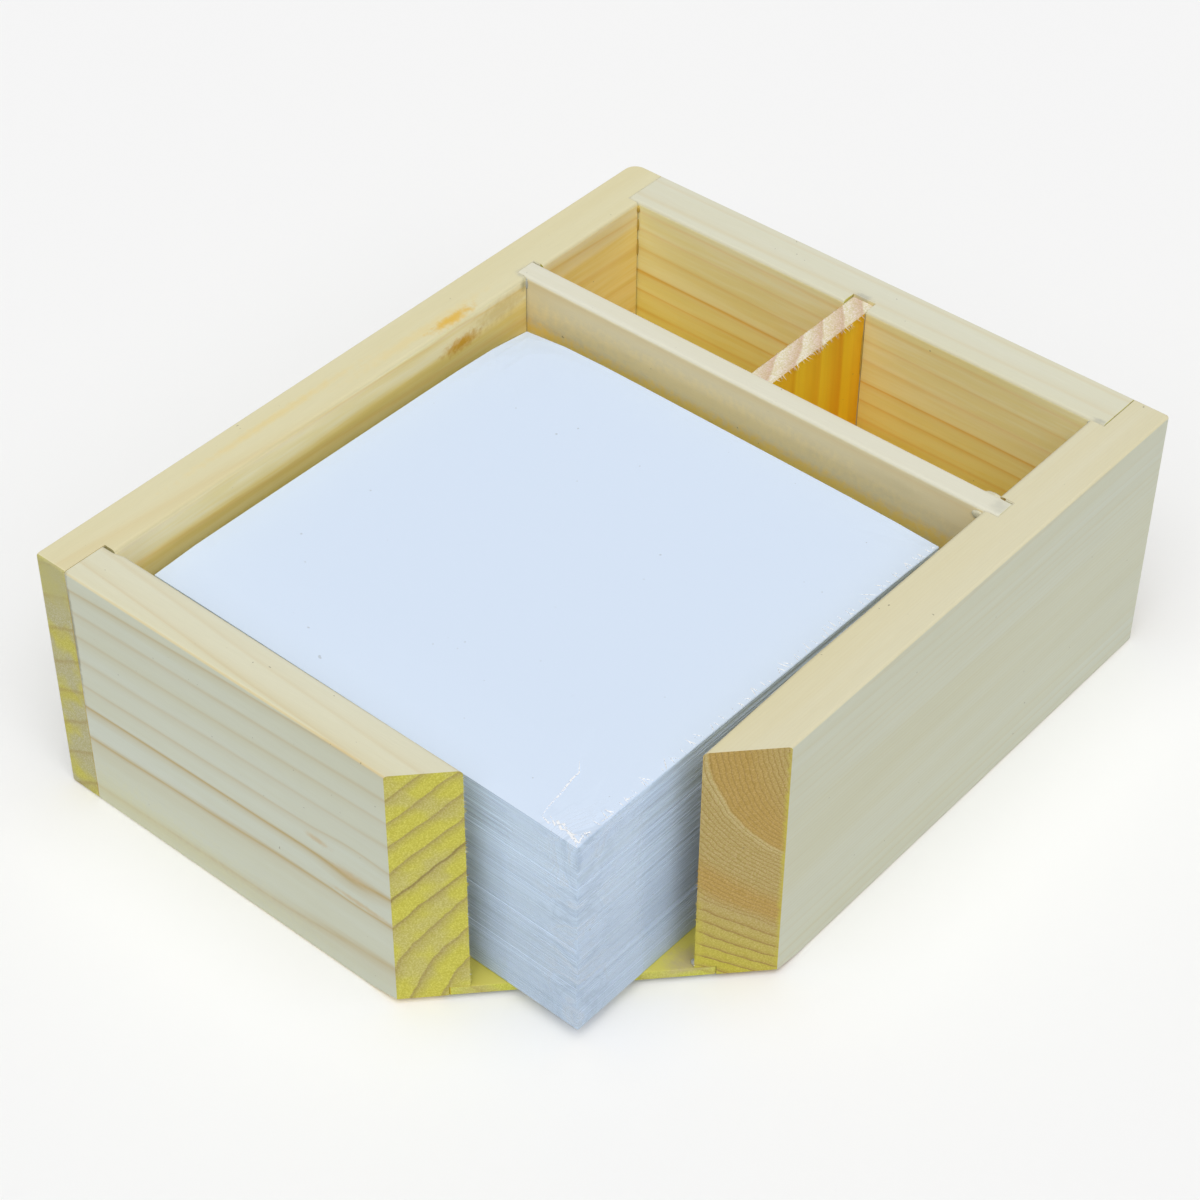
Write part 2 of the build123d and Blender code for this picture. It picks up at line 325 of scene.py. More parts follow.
boards = [
    Board(
        "left_side", "Y", (-1, 0, 0), seed=1.0, pith=(-24, -54.9), lean=(0, -0.0387),
        ring=6.6, ring_start=102.0,
        end=rgb(0.49, 0.465, 0.25), end_patch=rgb(0.56, 0.52, 0.10), end_line=0.5, end_band=0.3,
        inner=rgb(0.97, 0.895, 0.60), painted_shade_between=(47.4, 45.8), painted_shade_tint=rgb(1.0, 0.92, 0.64), worn=0.03,
        stains_and_painted_light=(
            StainOrPaintedLight((-55.3, -25.0, 51.5), (1.2, 26.0, 3.0), rgb(0.76, 0.62, 0.28), 0.6),
            StainOrPaintedLight((-53.0, 8.0, 51.5), (1.6, 22.0, 3.0), rgb(0.76, 0.62, 0.28), 0.5),
            StainOrPaintedLight((-51.6, 15.5, 51.5), (1.6, 7.0, 1.5), rgb(0.74, 0.47, 0.08), 0.95),
            StainOrPaintedLight((-50.1, 16.0, 46.6), (1.0, 6.0, 2.0), rgb(0.70, 0.36, 0.02), 0.95),
            StainOrPaintedLight((-50.1, 26.0, 48.0), (1.0, 9.0, 3.0), rgb(0.74, 0.56, 0.20), 0.6),
            StainOrPaintedLight((-51.4, 34.4, 51.5), (1.6, 2.4, 1.0), glue_grey, 0.6),
            StainOrPaintedLight((-56.0, -74.8, 48.0), (8.0, 3.0, 9.0), rgb(0.48, 0.45, 0.20), 0.8, True),
            StainOrPaintedLight((-50.1, 32.6, 50.0), (0.6, 1.0, 1.6), rgb(0.30, 0.29, 0.15), 0.6),
        ),
        knots=(Knot((-51.0, 15.5, 49.0), (5.0, 8.0, 6.0), 1.5),),
    ),
    Board(
        "right_side", "Y", (1, 0, 0), pith=(87.4, 52), ring=2.0, fine_within=49.2, fine_ring=0.6, seed=2.0,
        line=0.35, end_band=0.7, end_line=0.85, top=rgb(0.705, 0.665, 0.49), outer=rgb(0.62, 0.645, 0.555),
        # Its inner face is painted darker and greyer from just above the slips' top down, as shade in the gap
        # beside them
        painted_shade_between=(47.0, 43.0), painted_shade_tint=rgb(0.60, 0.52, 0.60),
        end_late=rgb(0.31, 0.19, 0.05), end_soft=rgb(0.40, 0.27, 0.08),
        belts=(
            (28.0, straw), (33.0, amber), (36.6, amber), (36.9, pale_straw), (38.0, straw), (43.5, straw),
            (45.5, amber), (47.5, amber), (49.0, straw), (60.0, bright_yellow),
        ),
        stains_and_painted_light=(
            StainOrPaintedLight((59.6, -30.5, 25.0), (0.8, 40.0, 60.0), bright_yellow, 0.8, True),
            StainOrPaintedLight((50.0, -40.0, 8.0), (1.2, 10.0, 16.0), bright_yellow, 0.6, True),
        ),
    ),
    Board(
        "front_wall", "X", (0, -1, 0), seed=3.0, pith=(13.5, -30.8), lean=(0, 0.045),
        ring=3.4, ring_start=116.8, strong_at=101.5, worn=0.6, end_band=0.75, end_line=0.3, crack=0.45,
        top=rgb(0.71, 0.70, 0.57), outer=rgb(0.615, 0.655, 0.595), line=1.0, late=rgb(0.78, 0.55, 0.25),
        inner=rgb(0.98, 0.94, 0.75),
        end=rgb(0.61, 0.57, 0.085), end_patch=rgb(0.57, 0.52, 0.15), end_soft=rgb(0.42, 0.34, 0.12),
        knots=(Knot((9.5, -74.8, 24.5), (10.0, 6.0, 6.5), 3.0),),
        stains_and_painted_light=(
            StainOrPaintedLight((-50.0, -74.8, 2.0), (60.0, 4.0, 9.0), rgb(0.66, 0.66, 0.42), 0.5),
            StainOrPaintedLight((2.0, -74.8, 27.2), (3.5, 2.0, 0.9), tan, 0.75),
            StainOrPaintedLight((9.0, -74.8, 24.0), (5.5, 2.0, 1.1), tan, 0.75),
            StainOrPaintedLight((11.0, -74.8, 18.6), (9.0, 2.0, 0.7), tan, 0.75),
            StainOrPaintedLight((-52.2, -74.8, 38.0), (0.5, 1.5, 18.0), rgb(0.26, 0.24, 0.14), 0.8),
        ),
    ),
    Board(
        "back_wall", "X", (0, 1, 0), pith=(150, -60), ring=3.3, strong_at=128.0, seed=4.0, lean=(0.02, 0.01),
        line=1.0, late=rgb(0.86, 0.61, 0.25), top=rgb(0.705, 0.70, 0.585),
        inner=rgb(0.98, 0.98, 0.68), painted_shade_tint=rgb(1.0, 0.88, 0.34),
        stains_and_painted_light=(
            StainOrPaintedLight((-0.6, 68.2, 51.5), (2.4, 1.4, 1.0), glue_grey, 0.6),
            StainOrPaintedLight((51.0, 65.6, 51.5), (1.6, 0.9, 1.0), glue_grey, 0.6),
        ),
    ),
    Board(
        "divider", "X", (0, -1, 0), pith=(60, -120), ring=7.5, seed=5.0, line=0.6,
        top=rgb(0.74, 0.74, 0.67), outer=rgb(0.83, 0.745, 0.52), inner=rgb(0.92, 0.80, 0.42),
        stains_and_painted_light=(
            StainOrPaintedLight((51.0, 36.0, 51.5), (2.0, 2.0, 1.0), glue_grey, 0.35),
            # The first two are painted warm light along the face just above the slips
            StainOrPaintedLight((-10.0, 33.5, 44.5), (60.0, 2.0, 4.2), rgb(1.0, 0.84, 0.46), 0.8),
            StainOrPaintedLight((0.0, 33.5, 40.4), (140.0, 2.0, 2.8), rgb(1.0, 0.70, 0.14), 0.85),
            StainOrPaintedLight((32.0, 33.5, 47.5), (9.0, 2.0, 1.6), rgb(0.72, 0.62, 0.36), 0.5),
        ),
    ),
    Board(
        "pen_partition", "Z", (0, 0, 1), pith=(-52, 18), ring=3.7, ring_start=64.2, seed=6.0, broad=True,
        line=1.0, inner=rgb(0.97, 0.66, 0.03), late=rgb(0.78, 0.36, 0.02),
        end=rgb(0.80, 0.74, 0.55), end_patch=rgb(0.78, 0.68, 0.47), end_line=0.3, end_band=0.85,
        end_late=rgb(0.56, 0.38, 0.24), end_soft=rgb(0.64, 0.46, 0.31),
    ),
    Board(
        "base_panel", "X", (0, 0, -1), pith=(20, 70), ring=5.0, seed=7.0, line=0.35,
        top=rgb(0.64, 0.59, 0.13), inner=rgb(0.60, 0.58, 0.09),
        end=rgb(0.60, 0.60, 0.09), end_patch=rgb(0.58, 0.54, 0.15), end_line=0.3, end_band=0.3,
        # A darker brown patch on its top, in the corner by the right wall's cut
        stains_and_painted_light=(StainOrPaintedLight((48.6, -40.0, 3.0), (4.0, 5.0, 1.5), rgb(0.50, 0.42, 0.22), 0.85),),
    ),
]


# How dark a year's growth is from its first month to its last, as shares
narrow_year = [
    (0.0, 0.55), (0.07, 0.08), (0.15, 0.0), (0.55, 0.0), (0.82, 0.3), (0.91, 0.65), (0.96, 1.0), (1.0, 0.55),
]
banded_year = [(0.0, 0.0), (0.5, 0.0), (0.78, 0.5), (0.93, 1.0), (0.985, 0.9), (1.0, 0.0)]
broad_year = [(0.0, 0.6), (0.06, 0.0), (0.3, 0.1), (0.6, 0.6), (0.93, 1.0), (1.0, 0.6)]


def ring_years(graph, board, place, along, cross, stretched):
    """How many years of growth lie between the pith and a place."""
    wander = graph.split(graph.noise(stretched, wander_scale, 1.0, output="Color"))
    offsets = []
    for value, centre, lean, drift in zip(cross, board.pith, board.lean, wander):
        moved = graph.math("MULTIPLY_ADD", along, -lean, value)
        moved = graph.math("MULTIPLY_ADD", drift, 2 * ring_wander, moved)
        offsets.append(graph.math("SUBTRACT", moved, centre + ring_wander))
    radius = graph.math("SQRT", graph.math("ADD", *[graph.math("MULTIPLY", a, a) for a in offsets]))
    waver = graph.noise(stretched, waver_scale, 2.0)
    radius = graph.math("MULTIPLY_ADD", waver, 2 * ring_waver, graph.math("SUBTRACT", radius, ring_waver))
    for knot in board.knots:
        off = graph.vector("DIVIDE", graph.vector("SUBTRACT", place, knot.place), knot.reach)
        near = graph.math("MULTIPLY", graph.step(graph.length(off), 1.2, 0.0), knot.push)
        sideways = graph.split(off)
        sideways.pop("XYZ".index(board.along))
        radius = graph.math("SUBTRACT", radius, graph.math("MULTIPLY", near, graph.math("ADD", *sideways)))
    years = graph.math("DIVIDE", graph.math("SUBTRACT", radius, board.ring_start), board.ring)
    if board.fine_within:
        beyond = graph.math("MAXIMUM", graph.math("SUBTRACT", radius, board.fine_within), 0.0)
        within = graph.math("MINIMUM", radius, board.fine_within)
        years = graph.math("DIVIDE", beyond, board.ring)
        years = graph.math("ADD", years, graph.math("DIVIDE", within, board.fine_ring))
    return radius, years


def belt_colours(graph, board, radius):
    """The colours of the end grain by distance from the pith."""
    near, far = board.belts[0][0], board.belts[-1][0]
    share = graph.math("DIVIDE", graph.math("SUBTRACT", radius, near), far - near)
    return graph.ramp(share, [((distance - near) / (far - near), colour) for distance, colour in board.belts])


def pine(board):
    """A solid pine texture: rings about the pith, fibres along the board, and end grain across them."""
    graph = Graph("pine_" + board.node)
    normal = graph.add("ShaderNodeTexCoord", output="Normal")
    place = graph.place_in_mm()
    parts = dict(zip("XYZ", graph.split(place)))
    along = parts.pop(board.along)
    cross = list(parts.values())
    drawn_out = graph.math("MULTIPLY_ADD", along, fibre_share, seed_spacing * board.seed)
    stretched = graph.joined(drawn_out, *cross)
    radius, years = ring_years(graph, board, place, along, cross, stretched)

    season = graph.math("FRACT", years)
    soft = graph.ramp(season, broad_year if board.broad else narrow_year)
    band = graph.ramp(season, broad_year if board.broad else banded_year)
    line = graph.ramp(season, [(0.0, 0.4), (0.04, 0.0), (0.85, 0.0), (0.95, 1.0), (1.0, 0.4)])
    vigour = graph.add("ShaderNodeTexWhiteNoise", {"W": graph.math("FLOOR", years)}, noise_dimensions="1D")
    strong = graph.step(graph.math("ABSOLUTE", graph.math("SUBTRACT", radius, board.strong_at)), 4.0, 1.0)
    vigour = graph.math("MAXIMUM", graph.span(vigour, 0.3, 0.7), strong)
    dark = graph.math("MULTIPLY", soft, vigour)

    rise = graph.dot(normal, (0, 0, 1))
    upward = graph.step(rise, 0.05, 0.6)
    facing_out = graph.step(graph.dot(normal, board.outward), 0.5, 0.95)
    fibre_axis = tuple(float(axis == board.along) for axis in "XYZ")
    crossing = graph.step(graph.math("ABSOLUTE", graph.dot(normal, fibre_axis)), 0.4, 0.6)

    # The inner faces take a colour painted lighter than the wood, which lifts their shade
    colour = graph.mix(facing_out, board.inner, board.outer)
    colour = graph.mix(upward, colour, board.top)
    streaks = graph.step(graph.noise(stretched, 0.22, 3.0, 0.6), 0.3, 0.7)
    streak_tint = graph.mix(streaks, rgb(1.01, 1.01, 1.01), rgb(0.985, 0.97, 0.92))
    colour = graph.mix(1.0, colour, streak_tint, "MULTIPLY")
    clouds = graph.step(graph.noise(stretched, 0.06, 2.0), 0.35, 0.65)
    cloud_tint = graph.mix(clouds, rgb(1.0, 1.0, 0.98), rgb(1.0, 0.98, 0.90))
    colour = graph.mix(1.0, colour, cloud_tint, "MULTIPLY")
    shown = graph.math("MULTIPLY", board.line, graph.math("MULTIPLY_ADD", upward, board.top_line - 1, 1.0))
    lines = graph.mix(graph.math("MULTIPLY", dark, shown), rgb(1, 1, 1), board.late)
    colour = graph.mix(1.0, colour, lines, "MULTIPLY")
    worn = graph.math("MULTIPLY", graph.step(rise, 0.1, 0.5), graph.step(rise, 0.97, 0.7))
    worn = graph.math("MULTIPLY", graph.math("MULTIPLY", worn, board.worn), graph.span(streaks, 0.3, 1.0))
    colour = graph.mix(worn, colour, rgb(1.0, 0.84, 0.55), "MULTIPLY")
    facing_in = graph.math("SUBTRACT", 1.0, graph.math("MAXIMUM", facing_out, upward))
    # Painted shade: lower down, the inner faces are tinted warmer and darker, as the shade deep in the bays
    depth = graph.math("MULTIPLY", graph.step(graph.split(place)[2], *board.painted_shade_between), facing_in)
    colour = graph.mix(depth, colour, board.painted_shade_tint, "MULTIPLY")
    mottle = graph.step(graph.noise(stretched, 0.5, 4.0, 0.7), 0.35, 0.65)
    mottle = graph.mix(mottle, rgb(1.03, 1.03, 1.08), rgb(0.97, 0.93, 0.76))
    colour = graph.mix(facing_in, colour, mottle, "MULTIPLY")

    patches = graph.step(graph.noise(place, 0.16, 2.0), 0.42, 0.66)
    end_colour = graph.mix(patches, board.end, board.end_patch)
    if board.belts:
        end_colour = belt_colours(graph, board, radius)
    end_colour = graph.mix(graph.math("MULTIPLY", band, board.end_band), end_colour, board.end_soft)
    end_dark = graph.math("MULTIPLY", line, graph.span(vigour, 0.5, 1.0))
    end_dark = graph.math("MULTIPLY", end_dark, board.end_line)
    end_colour = graph.mix(end_dark, end_colour, board.end_late)
    crack = graph.math("MULTIPLY", graph.math("MULTIPLY", line, graph.step(strong, 0.7, 1.0)), board.crack)
    end_colour = graph.mix(crack, end_colour, rgb(0.12, 0.06, 0.02))
    speckle = graph.noise(place, 3.5, 2.0, 0.7)
    # The end grain's speckle: darker specks are the wood's own tone, bright whitish ones are painted glints
    specks_and_painted_glints = graph.mix(graph.step(speckle, 0.35, 0.75), rgb(0.88, 0.86, 0.7), rgb(1.14, 1.16, 1.5))
    end_colour = graph.mix(1.0, end_colour, specks_and_painted_glints, "MULTIPLY")
    colour = graph.mix(crossing, colour, end_colour)

    smudge = graph.noise(place, 0.8, 3.0, 0.6)
    for stain_or_light in board.stains_and_painted_light:
        offset = graph.vector("SUBTRACT", place, stain_or_light.place)
        away = graph.length(graph.vector("DIVIDE", offset, stain_or_light.reach))
        away = graph.math("ADD", away, graph.math("MULTIPLY_ADD", smudge, 2 * stain_or_light_waver, -stain_or_light_waver))
        share = graph.math("MULTIPLY", graph.step(away, 1.1, 0.1), stain_or_light.amount)
        if stain_or_light.on_end:
            share = graph.math("MULTIPLY", share, crossing)
        colour = graph.mix(share, colour, stain_or_light.colour)

    fibres = graph.noise(stretched, 4.0, 3.0, 0.65)
    grain = graph.mix(crossing, fibres, speckle)
    colour = graph.mix(1.0, colour, graph.span(fibres, 0.95, 1.05), "MULTIPLY")
    specks = graph.step(graph.noise(place, 1.6, 0.0), 0.89, 0.9)
    colour = graph.mix(graph.math("MULTIPLY", specks, 0.5), colour, rgb(0.12, 0.09, 0.05))

    shader = graph.add("ShaderNodeBsdfPrincipled", {
        "Base Color": colour,
        "Roughness": graph.span(grain, 0.5, 0.75),
        "Normal": graph.bump(grain, 0.05 * mm, 0.5),
        "Specular IOR Level": 0.25,
    })
    return graph.finish(shader)


def mesh_of(form, name):
    mesh = bpy.data.meshes.new(name)
    form.normal_update()
    form.to_mesh(mesh)
    form.free()
    return mesh


def new_piece(name, mesh, body, material):
    """An object that rides on a body, with one material."""
    piece = bpy.data.objects.new(name, mesh)
    bpy.context.scene.collection.objects.link(piece)
    mesh.materials.clear()
    mesh.materials.append(material)
    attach(piece, body)
    return piece


def shade_smoothly(mesh, sharp_degrees):
    for polygon in mesh.polygons:
        polygon.use_smooth = True
    mesh.set_sharp_from_angle(angle=math.radians(sharp_degrees))


@dataclass
class Swell:
    """How much further in than the solid's a board's inner face lies. Lengths are millimetres."""
    across: int  # the axis across the board
    face: float  # where the solid's face lies on it
    still: float  # from where on the board keeps its shape
    depth: float
    along: int  # the axis along the board
    shares: tuple  # places along it, each with its share of the depth


swells = {
    "right_side": Swell(0, 50.1, 52.5, -0.6, 1, ((-40.0, 0.0), (-15.0, 1.0), (75.0, 1.0))),
    "front_wall": Swell(1, -66.25, -68.5, 0.6, 0, ((-50.2, 0.0), (-48.0, 1.0), (25.0, 0.0))),
}


def read_off(stops, value):
    """The height over a place of a line through some stops, level beyond its ends."""
    for (low, first), (high, second) in zip(stops, stops[1:]):
        if value <= high:
            return first + (second - first) * max(0.0, (value - low) / (high - low))
    return stops[-1][1]


def add_swell(form, swell):
    """Moves a board's inner face, which bends at each of the swell's places."""
    for stop, _ in swell.shares:
        geometry = form.verts[:] + form.edges[:] + form.faces[:]
        here, direction = Vector(), Vector()
        here[swell.along], direction[swell.along] = stop * mm, 1.0
        bmesh.ops.bisect_plane(form, geom=geometry, dist=0.001 * mm, plane_co=here, plane_no=direction)
    for spot in form.verts:
        inward = (swell.still - spot.co[swell.across] * per_mm) / (swell.still - swell.face)
        share = min(max(inward, 0.0), 1.0) * read_off(swell.shares, spot.co[swell.along] * per_mm)
        spot.co[swell.across] += swell.depth * mm * share


def softened(node):
    """The CAD solid of a board as a clean mesh with its sharp edges a little rounded."""
    form = bmesh.new()
    form.from_mesh(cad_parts[node].data)
    bmesh.ops.remove_doubles(form, verts=form.verts, dist=0.001 * mm)
    bmesh.ops.dissolve_limit(form, verts=form.verts, edges=form.edges, angle_limit=math.radians(0.5))
    if node in swells:
        add_swell(form, swells[node])
    sharp = [edge for edge in form.edges if edge.is_manifold and edge.calc_face_angle() > math.radians(40)]
    bmesh.ops.bevel(
        form, geom=sharp, offset=edge_softening, segments=2, profile=0.5, affect="EDGES", clamp_overlap=True
    )
    mesh = mesh_of(form, node + "_board")
    shade_smoothly(mesh, 50)
    return mesh


def add_boards():
    materials = {}
    for board in boards:
        materials[board.node] = pine(board)
        mesh = softened(board.node)
        piece = new_piece(board.node + "_board", mesh, "holder", materials[board.node])
        piece.modifiers.new("even_faces", "WEIGHTED_NORMAL").keep_sharp = True
        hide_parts(board.node)
    return materials


@dataclass
class Fuzz:
    """A row of torn fibres along an edge. Lengths are millimetres."""
    name: str
    node: str
    start: tuple
    end: tuple
    lean: tuple  # the direction in which the fibres stand out
    count: int
    longest: float
    thickness: float = 0.16


fuzz_rows = [
    Fuzz(
        "front_cut_fuzz", "front_wall", (25.45, -66.25, 3.6), (25.45, -66.25, 51.0), (0.7, 0.6, 0.1),
        count=130, longest=0.7,
    ),
    Fuzz(
        "right_cut_fuzz", "right_side", (50.1, -40.35, 3.6), (50.1, -40.35, 26.0), (-0.8, -0.5, 0.0),
        count=50, longest=0.45,
    ),
    Fuzz(
        "partition_left_fuzz", "pen_partition", (-2.2, 39.0, 50.9), (-2.2, 64.5, 50.9), (-0.5, 0.2, -0.5),
        count=70, longest=0.7,
    ),
    Fuzz(
        "partition_right_fuzz", "pen_partition", (2.2, 39.0, 50.9), (2.2, 64.5, 50.9), (0.5, 0.2, -0.7),
        count=90, longest=1.3,
    ),
]


def add_fuzz(row, material):
    """Each fibre is a thin three-sided spike."""
    draw = random.Random(row.name)
    start, end = Vector(row.start) * mm, Vector(row.end) * mm
    run = (end - start).normalized()
    lean = Vector(row.lean).normalized()
    side = run.cross(lean).normalized()
    form = bmesh.new()
    for _ in range(row.count):
        root = start.lerp(end, draw.random()) - lean * row.thickness * mm
        length = row.longest * mm * draw.uniform(shortest_share, 1.0)
        spread = run * draw.gauss(0, fuzz_spread_along) + side * draw.gauss(0, fuzz_spread_across)
        tip = root + (lean + spread) * length
        half = row.thickness * mm * draw.uniform(thinnest_share, 1.0)
        foot = [form.verts.new(root + off * half) for off in (run, -run, side)]
        point = form.verts.new(tip)
        form.faces.new(foot)
        for i in range(3):
            form.faces.new((foot[i], foot[i - 1], point))
    bmesh.ops.recalc_face_normals(form, faces=form.faces)
    new_piece(row.name, mesh_of(form, row.name), "holder", material)


# Glue

@dataclass
class Seam:
    """Glue that fills a joint between two boards, from its lowest to its highest corner, in millimetres."""
    low: tuple
    high: tuple


@dataclass
class Bead:
    """A drop of glue squeezed out of a joint. Lengths are millimetres."""
    place: tuple
    size: tuple


dark_seams = [
    Seam((-52.5, -74.5, 0.4), (-52.35, -66.25, 51.3)),
    Seam((52.35, 65.0, 0.4), (52.5, 74.4, 51.4)),
]
pale_seams = [
    Seam((-52.62, 64.9, 0.4), (-52.23, 74.2, 51.48)),
    Seam((-52.35, 64.75, 3.2), (-50.8, 65.1, 51.45)),
    Seam((-52.48, 33.25, 3.2), (-50.8, 33.6, 51.48)),
    Seam((-52.48, 37.9, 3.2), (-50.8, 38.25, 51.48)),
    Seam((50.8, 33.25, 3.2), (52.48, 33.6, 51.48)),
    Seam((50.8, 37.9, 3.2), (52.48, 38.25, 51.48)),
    Seam((-52.6, 33.3, 3.2), (-52.25, 38.2, 51.48)),
    Seam((52.25, 33.3, 3.2), (52.6, 38.2, 51.48)),
    Seam((-2.38, 65.0, 3.2), (-2.27, 68.0, 50.9)),
    Seam((2.27, 65.0, 3.2), (2.38, 68.0, 50.9)),
    Seam((-2.2, 38.02, 3.2), (2.2, 38.13, 50.9)),
]
grey_beads = [
    Bead((-50.05, 33.45, 50.0), (0.3, 0.25, 1.2)),
    Bead((50.6, 64.8, 50.8), (1.4, 0.5, 0.6)),
    Bead((49.5, -39.4, 3.3), (0.7, 0.6, 0.6)),
]
pale_beads = [
    Bead((48.4, 38.3, 50.6), (2.0, 0.6, 0.7)),
    Bead((49.8, 39.4, 50.5), (0.5, 1.4, 0.7)),
    Bead((48.8, 33.3, 50.0), (1.4, 0.4, 0.9)),
]
brown_beads = [
    Bead((-50.0, 64.9, 50.0), (0.35, 0.35, 0.8)),
    Bead((-50.0, 64.9, 46.5), (0.25, 0.25, 1.4)),
    Bead((-50.0, 64.9, 41.5), (0.2, 0.2, 2.0)),
    Bead((2.3, 64.9, 42.0), (0.2, 0.2, 5.0)),
]


def glue(name, colour):
    graph = Graph(name)
    place = graph.place_in_mm()
    lumps = graph.noise(place, 1.8, 3.0, 0.6)
    # Painted shade: the glue is darker in the hollows of its lumps
    hollow = rgb(*[glue_shade * part for part in colour[:3]])
    shade = graph.mix(lumps, hollow, colour)
    shader = graph.add("ShaderNodeBsdfPrincipled", {
        "Base Color": shade,
        "Roughness": 0.4,
        "Normal": graph.bump(lumps, 0.1 * mm, 0.5),
    })
    return graph.finish(shader)


def add_glue(name, seams, beads, colour):
    """Seams are thin layers with an uneven top. Beads are drops with an uneven skin."""
    draw = random.Random(name)
    form = bmesh.new()
    for seam in seams:
        low, high = Vector(seam.low) * mm, Vector(seam.high) * mm
        place = Matrix.Translation((low + high) / 2) @ Matrix.Diagonal((*(high - low), 1))
        layer = bmesh.ops.create_cube(form, size=1, matrix=place)["verts"]
        for spot in layer:
            if spot.co.z > low.z + mm:
                spot.co.z -= draw.uniform(0.0, seam_dip) * mm
    for bead in beads:
        place = Matrix.Translation(Vector(bead.place) * mm) @ Matrix.Diagonal((*(Vector(bead.size) * mm), 1))
        drop = bmesh.ops.create_icosphere(form, subdivisions=3, radius=1.0)["verts"]
        for spot in drop:
            spot.co *= 1 - bead_bumps * abs(noise.noise(spot.co * 2 + Vector(bead.place)))
            spot.co = place @ spot.co
    mesh = mesh_of(form, name)
    shade_smoothly(mesh, 50)
    new_piece(name, mesh, "holder", glue(name, colour))


# Paper

def block_place():
    """From the block's own axes, with its origin under its middle, to the frame."""
    low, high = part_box("memo_sheets")
    middle = (low + high) / 2
    flat = Vector((middle.x, middle.y, 0)) + block_shift
    return Matrix.Translation(flat) @ Matrix.Rotation(block_turn, 4, "Z")


def stack_top():
    """The height of the top slip."""
    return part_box("memo_sheets")[1].z + stack_swell


def sag(x, y):
    """How far the top slip droops at a place."""
    near_x = min(1.0, abs(2 * x / slip_width)) ** sag_power
    near_y = min(1.0, abs(2 * y / slip_depth)) ** sag_power
    edge = max(edge_sag * near_x, (front_sag if y < 0 else edge_sag) * near_y)
    corner = corner_sags[math.copysign(1, x), math.copysign(1, y)]
    return edge + corner * near_x * near_y


def sag_share(rise):
    """How much of the top slip's droop a slip has, by its share of the stack's height."""
    return max(0.0, (rise - flat_share) / (1 - flat_share)) ** 2


def outline(inset):
    """Places along a slip's four sides, in order, each side drawn in by the inset."""
    half_x, half_y = slip_width / 2 - inset, slip_depth / 2 - inset
    shares = [2 * i / slip_divisions - 1 for i in range(slip_divisions)]
    south = [(share * half_x, -half_y) for share in shares]
    east = [(half_x, share * half_y) for share in shares]
    north = [(-share * half_x, half_y) for share in shares]
    west = [(-half_x, -share * half_y) for share in shares]
    return south + east + north + west


def add_sheet(form, centre, bottom, top, droop):
    """One slip as a closed sheet: rings of places on both sides, each ring further in than the last."""
    levels = []
    for height in (bottom, top):
        rings = []
        for inset in slip_insets:
            places = outline(inset)
            rings.append([
                form.verts.new((x + centre.x, y + centre.y, height - droop * sag(x, y))) for x, y in places
            ])
        levels.append(rings)
    count = len(levels[0][0])
    for rings, turn in zip(levels, (-1, 1)):
        for outer, inner in zip(rings, rings[1:]):
            for i in range(count):
                quad = (outer[i - 1], outer[i], inner[i], inner[i - 1])
                form.faces.new(quad[::turn])
        form.faces.new(rings[-1][::turn])
    for i in range(count):
        form.faces.new((levels[0][0][i - 1], levels[0][0][i], levels[1][0][i], levels[1][0][i - 1]))


def add_plain_sheet(form, centre, bottom, top):
    size = Matrix.Diagonal((slip_width, slip_depth, top - bottom, 1))
    place = Matrix.Translation((centre.x, centre.y, (bottom + top) / 2))
    bmesh.ops.create_cube(form, size=1, matrix=place @ size)


def near_front_corner(graph, place, far, close):
    """1 near the upright edge at the block's front corner, and 0 far from it. Distances are millimetres."""
    low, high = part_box("shrink_film")
    corner = (high.x * per_mm, low.y * per_mm, 0.0)
    away = graph.vector("MULTIPLY", graph.vector("SUBTRACT", place, corner), (1.0, 1.0, 0.0))
    return graph.step(graph.length(away), far, close)


def paper():
    graph = Graph("paper")
    place = graph.place_in_mm()
    normal = graph.add("ShaderNodeTexCoord", output="Normal")
    pulp = graph.noise(place, 6.0, 2.0)
    drawn_out = zip(graph.split(place), (0.03, 0.03, 3.2))
    flattened = graph.joined(*[graph.math("MULTIPLY", *pair) for pair in drawn_out])
    layers = graph.noise(flattened, 1.0, 3.0, 0.8)
    upward = graph.step(graph.math("ABSOLUTE", graph.dot(normal, (0, 0, 1))), 0.5, 0.9)
    face = graph.mix(graph.span(pulp, 0.0, 0.1), rgb(0.70, 0.80, 0.945), rgb(0.63, 0.73, 0.88))
    height = graph.split(place)[2]
    # Painted shade: the slips' edges are darker towards the bottom of the stack
    out_of_painted_shade = graph.step(height, *painted_edge_shade_between)
    edge = graph.mix(out_of_painted_shade, rgb(0.505, 0.615, 0.74), rgb(0.615, 0.74, 0.875))
    crisp = graph.math("SUBTRACT", 1.0, near_front_corner(graph, place, 17.5, 11.5))
    upper = graph.step(height, *crisp_between)
    crisp = graph.math("MULTIPLY", graph.span(crisp, 0.3, 1.0), graph.span(upper, 0.15, 1.0))
    # Painted light and shade: light and dark lines where single slips' edges stand out and sink back
    sheets = graph.mix(graph.step(layers, 0.3, 0.7), rgb(0.72, 0.72, 0.74), rgb(1.26, 1.26, 1.24))
    edge = graph.mix(crisp, edge, sheets, "MULTIPLY")
    specks = graph.step(graph.noise(place, 1.1, 0.0), 0.88, 0.89)
    colour = graph.mix(upward, edge, face)
    colour = graph.mix(graph.math("MULTIPLY", specks, 0.4), colour, rgb(0.3, 0.3, 0.3))
    shader = graph.add("ShaderNodeBsdfPrincipled", {
        "Base Color": colour,
        "Roughness": 0.85,
        "Specular IOR Level": 0.15,
        "Normal": graph.bump(pulp, 0.02 * mm, 0.3),
    })
    return graph.finish(shader)


